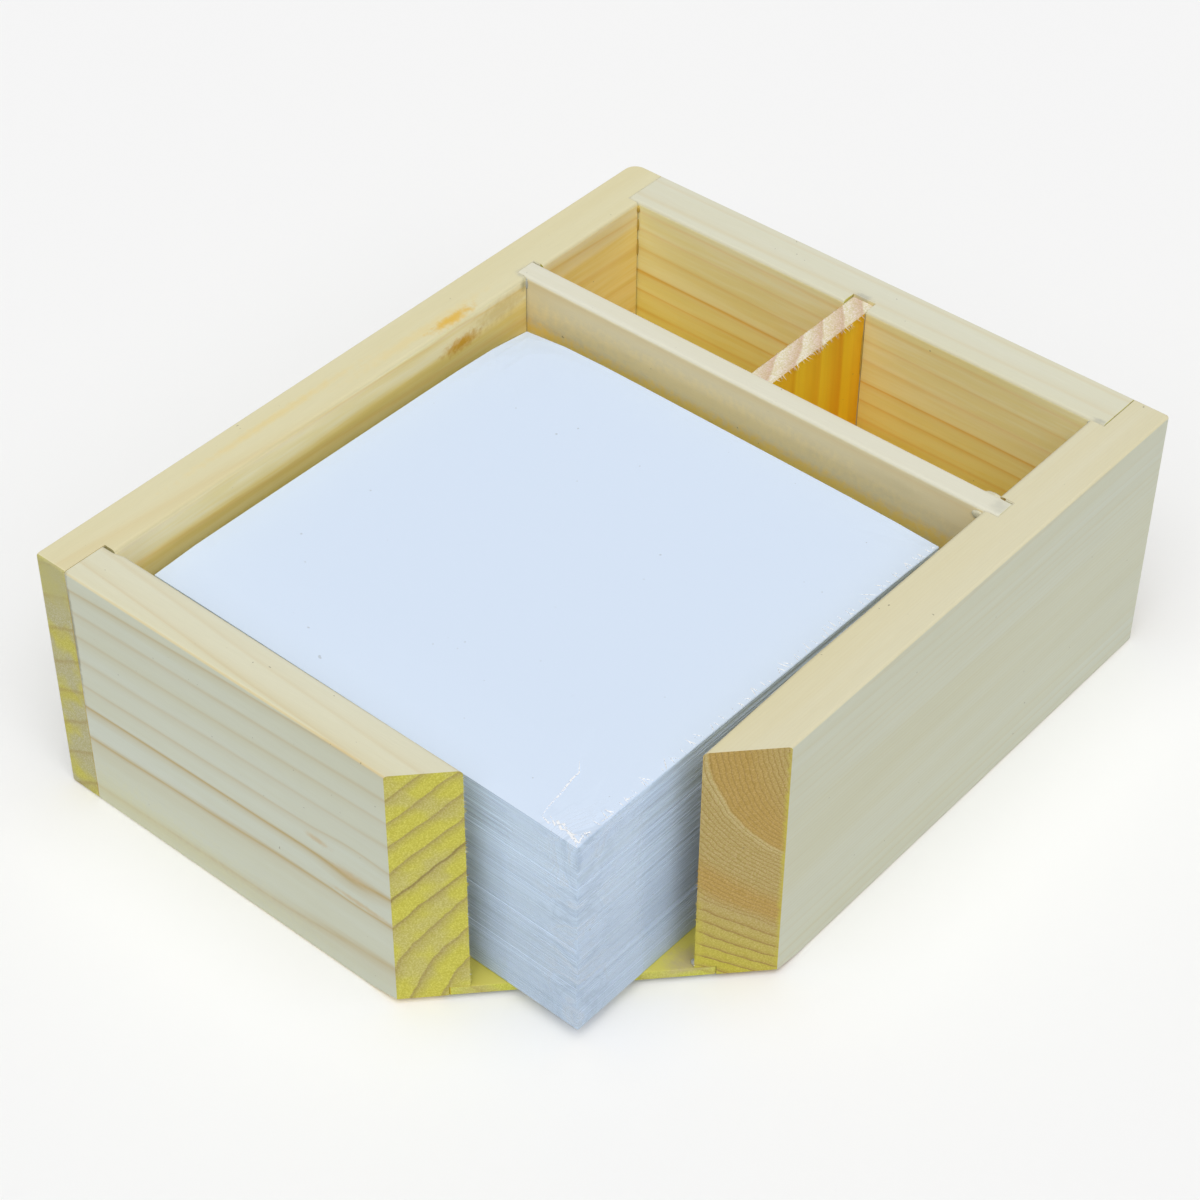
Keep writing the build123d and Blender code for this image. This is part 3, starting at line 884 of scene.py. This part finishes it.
def add_paper():
    """The slips of one lift stray together, and single slips a little more."""
    low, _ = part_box("memo_sheets")
    thickness = (stack_top() - low.z) / sheet_count
    draw = random.Random(paper_seed)
    form = bmesh.new()
    left_in_lift = 0
    for number in range(sheet_count):
        if left_in_lift == 0:
            left_in_lift = draw.randint(*lift_sheets)
            lift = Vector((draw.uniform(-1, 1), draw.uniform(-1, 1), 0)) * lift_stray
        left_in_lift -= 1
        centre = lift + Vector((draw.uniform(-1, 1), draw.uniform(-1, 1), 0)) * sheet_stray
        bottom = low.z + number * thickness
        droop = sag_share(number / sheet_count)
        if droop:
            add_sheet(form, centre, bottom, bottom + thickness, droop)
        else:
            add_plain_sheet(form, centre, bottom, bottom + thickness)
    form.transform(block_place())
    piece = new_piece("memo_slips", mesh_of(form, "memo_slips"), "memo_block", paper())
    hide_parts("memo_sheets")


# Film

def graded(low, high, fine_low, fine_high):
    """Places from low to high, close together over the first and last stretch and wider between."""
    places = [low]
    while places[-1] < high - film_fine_step:
        near = places[-1] - low < fine_low or high - places[-1] < fine_high + film_coarse_step
        places.append(places[-1] + (film_fine_step if near else film_coarse_step))
    places[-1] = high
    return places


def shell(form, xs, ys, zs):
    """The six sides of a box as one closed net of places."""
    spots = {}

    def spot(*key):
        if key not in spots:
            spots[key] = form.verts.new((xs[key[0]], ys[key[1]], zs[key[2]]))
        return spots[key]

    counts = [len(xs), len(ys), len(zs)]
    for axis in range(3):
        one, other = (axis + 1) % 3, (axis + 2) % 3
        for end in (0, counts[axis] - 1):
            for i in range(counts[one] - 1):
                for j in range(counts[other] - 1):
                    quad = []
                    for di, dj in ((0, 0), (1, 0), (1, 1), (0, 1)):
                        key = [0, 0, 0]
                        key[axis], key[one], key[other] = end, i + di, j + dj
                        quad.append(spot(*key))
                    form.faces.new(quad if end else quad[::-1])


def rounded_box(place, low, high, radius):
    """A place on a box moved onto the same box with rounded edges, and the direction outwards there."""
    core = Vector([min(max(p, l + radius), h - radius) for p, l, h in zip(place, low, high)])
    outward = (place - core).normalized()
    return core + outward * radius, outward


def crinkle(place, corner):
    """How far the gathered film stands off near the front corner's upright edge."""
    away = math.hypot(place.x - corner.x, place.y - corner.y)
    fade = max(0.0, 1 - away / film_crinkle_reach) ** crinkle_fade
    slanted = Vector((place.x + place.y, place.x - place.y, crinkle_rise * place.z)) * crinkle_rate
    curl = noise.noise_vector(slanted * curl_rate) * curl_amount
    ridge = 1 - abs(noise.noise(slanted + curl))
    return fade * ridge ** crinkle_ridge * film_crinkle_depth


def film():
    """Clear and glossy, with feathery marks where it is gathered round the front corner: grey lines of
    painted shade, and milky lines.
    """
    graph = Graph("film")
    place = graph.place_in_mm()
    waves = graph.noise(place, 0.5, 3.0, 0.6)
    normal = graph.bump(waves, 0.25 * mm, 0.35)
    gloss = graph.add("ShaderNodeBsdfGlossy", {"Roughness": 0.08, "Normal": normal})
    corner = near_front_corner(graph, place, 13.0, 2.0)
    swirls = {"Vector": place, "Scale": 0.09, "Detail": 3.0, "Roughness": 0.55, "Distortion": 2.0}
    swirl = graph.add("ShaderNodeTexNoise", swirls, "Fac")
    grey = graph.ramp(swirl, [(0.0, 0.0), (0.36, 0.0), (0.41, 1.0), (0.46, 0.0), (1.0, 0.0)])
    white = graph.ramp(swirl, [
        (0.0, 0.0), (0.5, 0.0), (0.57, 1.0), (0.62, 0.1), (0.67, 0.7), (0.74, 0.0), (1.0, 0.0),
    ])
    # Painted shade: grey lines in the film's wrinkles near the front corner
    painted_wrinkle_shade = graph.math("MULTIPLY", graph.math("MULTIPLY", grey, corner), 0.22)
    tint = graph.mix(painted_wrinkle_shade, rgb(0.985, 0.99, 0.995), rgb(0.55, 0.58, 0.6))
    clear = graph.add("ShaderNodeBsdfTransparent", {"Color": tint})
    milky = graph.add("ShaderNodeBsdfDiffuse", {"Color": rgb(0.92, 0.94, 0.95)})
    whitened = graph.math("MULTIPLY", graph.math("MULTIPLY", white, corner), 0.2)
    clear = graph.add("ShaderNodeMixShader", {0: whitened, 1: clear, 2: milky})
    share = graph.add("ShaderNodeFresnel", {"IOR": 1.35, "Normal": normal})
    inside = graph.add("ShaderNodeNewGeometry", output="Backfacing")
    share = graph.math("MULTIPLY", share, graph.math("SUBTRACT", 1.0, inside))
    return graph.finish(graph.add("ShaderNodeMixShader", {0: share, 1: clear, 2: gloss}))


def creased_film():
    """Film whitened along a sharp fold."""
    graph = Graph("creased_film")
    broken = graph.step(graph.noise(graph.place_in_mm(), 2.2, 2.0), 0.38, 0.52)
    white = graph.add("ShaderNodeBsdfPrincipled", {"Base Color": rgb(0.98, 0.99, 1.0), "Roughness": 0.2})
    clear = graph.add("ShaderNodeBsdfTransparent")
    share = graph.span(broken, 0.1, 0.9)
    return graph.finish(graph.add("ShaderNodeMixShader", {0: share, 1: clear, 2: white}))


def film_halves():
    """Half the film's width and half its depth."""
    room = lift_stray + sheet_stray + film_gap
    return slip_width / 2 + room, slip_depth / 2 + room


def add_film():
    """One closed skin round the slips, which droops with them and crinkles at the front corner."""
    low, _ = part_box("memo_sheets")
    half_x, half_y = film_halves()
    film_low = Vector((-half_x, -half_y, low.z - film_gap / 2))
    film_high = Vector((half_x, half_y, stack_top() + film_gap))
    corner = Vector((half_x, -half_y, 0))
    form = bmesh.new()
    xs = graded(film_low.x, film_high.x, film_edge_reach, film_crinkle_reach)
    ys = graded(film_low.y, film_high.y, film_crinkle_reach, film_edge_reach)
    zs = graded(film_low.z, film_high.z, film_crinkle_reach, 2 * film_crinkle_reach)
    shell(form, xs, ys, zs)
    noise.seed_set(film_seed)
    for spot in form.verts:
        place, outward = rounded_box(spot.co, film_low, film_high, film_rounding)
        rise = (place.z - film_low.z) / (film_high.z - film_low.z)
        droop = sag_share(rise) * sag(place.x, place.y)
        if place.z > film_low.z + film_rounding:
            place += outward * crinkle(place, corner)
        spot.co = place - Vector((0, 0, droop))
    form.transform(block_place())
    mesh = mesh_of(form, "film_wrap")
    shade_smoothly(mesh, 60)
    piece = new_piece("film_wrap", mesh, "memo_block", film())
    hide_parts("shrink_film")


def add_ridge(form, path, width, height):
    """A narrow tent along a path of places and directions outwards, tapered to both ends."""
    rows = []
    for number, (place, outward) in enumerate(path):
        before, after = path[max(number - 1, 0)][0], path[min(number + 1, len(path) - 1)][0]
        side = (after - before).cross(outward).normalized()
        taper = math.sin(math.pi * (number + 0.3) / (len(path) - 0.4))
        rows.append([
            form.verts.new(place + side * width * taper / 2),
            form.verts.new(place + outward * height * taper),
            form.verts.new(place - side * width * taper / 2),
        ])
    for a, b in zip(rows, rows[1:]):
        form.faces.new((a[0], a[1], b[1], b[0]))
        form.faces.new((a[1], a[2], b[2], b[1]))


def add_pleats(form, draw, along, inward, start, length):
    """Short pleats across a top edge of the block."""
    up = Vector((0, 0, 1))
    travelled = 0.0
    while travelled < length:
        root = start + along * travelled
        slant = draw.gauss(0, pleat_slant)
        reach = pleat_length * draw.uniform(0.3, 1.0)
        path = []
        for step in range(pleat_steps):
            spot = root + (inward + along * slant) * (reach * step / (pleat_steps - 1) + film_rounding)
            path.append((spot - up * (sag(spot.x, spot.y) + film_gap / 4), up))
        add_ridge(form, path, pleat_width, pleat_height * draw.uniform(0.5, 1.0))
        travelled += pleat_spacing * draw.uniform(0.4, 1.6)


def add_creases():
    """The places where the shrunk film gathers: pleats along the right edge and folds at the front corner."""
    half_x, half_y = film_halves()
    top = stack_top() + film_gap
    draw = random.Random(crease_seed)
    form = bmesh.new()
    x_axis, y_axis, up = Vector((1, 0, 0)), Vector((0, 1, 0)), Vector((0, 0, 1))
    right_edge = Vector((half_x, -half_y, top))
    add_pleats(form, draw, y_axis, -x_axis, right_edge, 2 * half_y)
    # Each fold is a path of places on the top, in millimetres, and its width
    folds = [
        ([(37.6, -43.8), (39.5, -44.2), (40.1, -43.1), (41.6, -43.9), (42.5, -43.3)], 0.6),
        ([(41.6, -43.9), (42.5, -43.3), (44.0, -44.0), (45.4, -44.2)], 0.7),
        ([(37.6, -43.7), (37.2, -41.8), (36.9, -38.8), (36.2, -35.3), (36.2, -33.8), (34.6, -31.9)], 0.36),
        ([(38.6, -43.0), (40.4, -43.9), (41.2, -42.9), (43.0, -43.8), (44.4, -43.1)], 0.5),
        ([(45.3, -44.1), (44.7, -42.6), (45.2, -41.4)], 0.5),
        ([(45.2, -39.0), (45.5, -36.6)], 0.25),
        ([(45.1, -33.6), (45.5, -31.8)], 0.25),
    ]
    for points, width in folds:
        path = [(Vector((x * mm, y * mm, top - sag(x * mm, y * mm) + film_gap / 4)), up) for x, y in points]
        add_ridge(form, path, width * mm, film_gap / 2)
    form.transform(block_place())
    bmesh.ops.recalc_face_normals(form, faces=form.faces)
    mesh = mesh_of(form, "film_creases")
    new_piece("film_creases", mesh, "memo_block", creased_film())


# Stage

def add_stage():
    """The backdrop, the lamps and the floor."""
    scene = bpy.context.scene
    scene.view_settings.view_transform = "Standard"
    world = bpy.data.worlds.new("studio")
    scene.world = world
    world.use_nodes = True
    nodes, links = world.node_tree.nodes, world.node_tree.links
    background = nodes["Background"]
    background.inputs["Color"].default_value = rgb(1, 1, 1)
    strength = nodes.new("ShaderNodeMath")
    strength.operation = "MULTIPLY_ADD"
    strength.inputs[1].default_value = backdrop_level - studio_level
    strength.inputs[2].default_value = studio_level
    paths = nodes.new("ShaderNodeLightPath").outputs
    seen = paths["Is Camera Ray"]
    for kind in ("Is Glossy Ray", "Is Transmission Ray"):
        either = nodes.new("ShaderNodeMath")
        either.operation = "MAXIMUM"
        links.new(seen, either.inputs[0])
        links.new(paths[kind], either.inputs[1])
        seen = either.outputs[0]
    links.new(seen, strength.inputs[0])
    links.new(strength.outputs[0], background.inputs["Strength"])

    for lamp in lamps:
        light = bpy.data.lights.new(lamp.name, "SUN")
        light.energy = lamp.level * math.pi
        light.angle = lamp.width
        sun = bpy.data.objects.new(lamp.name, light)
        scene.collection.objects.link(sun)
        sideways = Vector((math.sin(lamp.turn), -math.cos(lamp.turn), 0)) * math.sin(lamp.tilt)
        towards = sideways + Vector((0, 0, math.cos(lamp.tilt)))
        sun.rotation_euler = towards.to_track_quat("Z", "Y").to_euler()

    mesh = bpy.data.meshes.new("floor")
    signs = [(-1, -1), (1, -1), (1, 1), (-1, 1)]
    corners = [(floor_reach * x, floor_reach * y, -floor_gap) for x, y in signs]
    mesh.from_pydata(corners, [], [(0, 1, 2, 3)])
    floor = bpy.data.objects.new("floor", mesh)
    scene.collection.objects.link(floor)
    graph = Graph("floor")
    shader = graph.add("ShaderNodeBsdfDiffuse", {"Color": rgb(floor_level, floor_level, floor_level)})
    mesh.materials.append(graph.finish(shader))


def add_camera():
    lens = bpy.data.cameras.new("camera")
    lens.sensor_width = camera_sensor
    lens.lens = camera_sensor * camera_focal_pixels / photo_pixels
    lens.clip_start = camera_near
    camera = bpy.data.objects.new("camera", lens)
    bpy.context.scene.collection.objects.link(camera)
    turn, rise = camera_azimuth, camera_elevation
    back = Vector((math.sin(turn) * math.cos(rise), -math.cos(turn) * math.cos(rise), math.sin(rise)))
    across = Vector((math.cos(turn), math.sin(turn), 0))
    turned = Matrix((across, back.cross(across), back)).transposed().to_4x4()
    rolled = turned @ Matrix.Rotation(camera_roll, 4, "Z")
    camera.matrix_world = Matrix.Translation(camera_target + back * camera_distance) @ rolled
    bpy.context.scene.camera = camera


pines = add_boards()
for fuzz_row in fuzz_rows:
    add_fuzz(fuzz_row, pines[fuzz_row.node])
add_glue("dark_glue", dark_seams, [], rgb(0.30, 0.29, 0.22))
add_glue("grey_glue", [], grey_beads, rgb(0.54, 0.55, 0.49))
add_glue("pale_glue", pale_seams, pale_beads, rgb(0.72, 0.68, 0.49))
add_glue("brown_glue", [], brown_beads, rgb(0.66, 0.47, 0.10))
add_paper()
add_film()
add_creases()
add_stage()
add_camera()
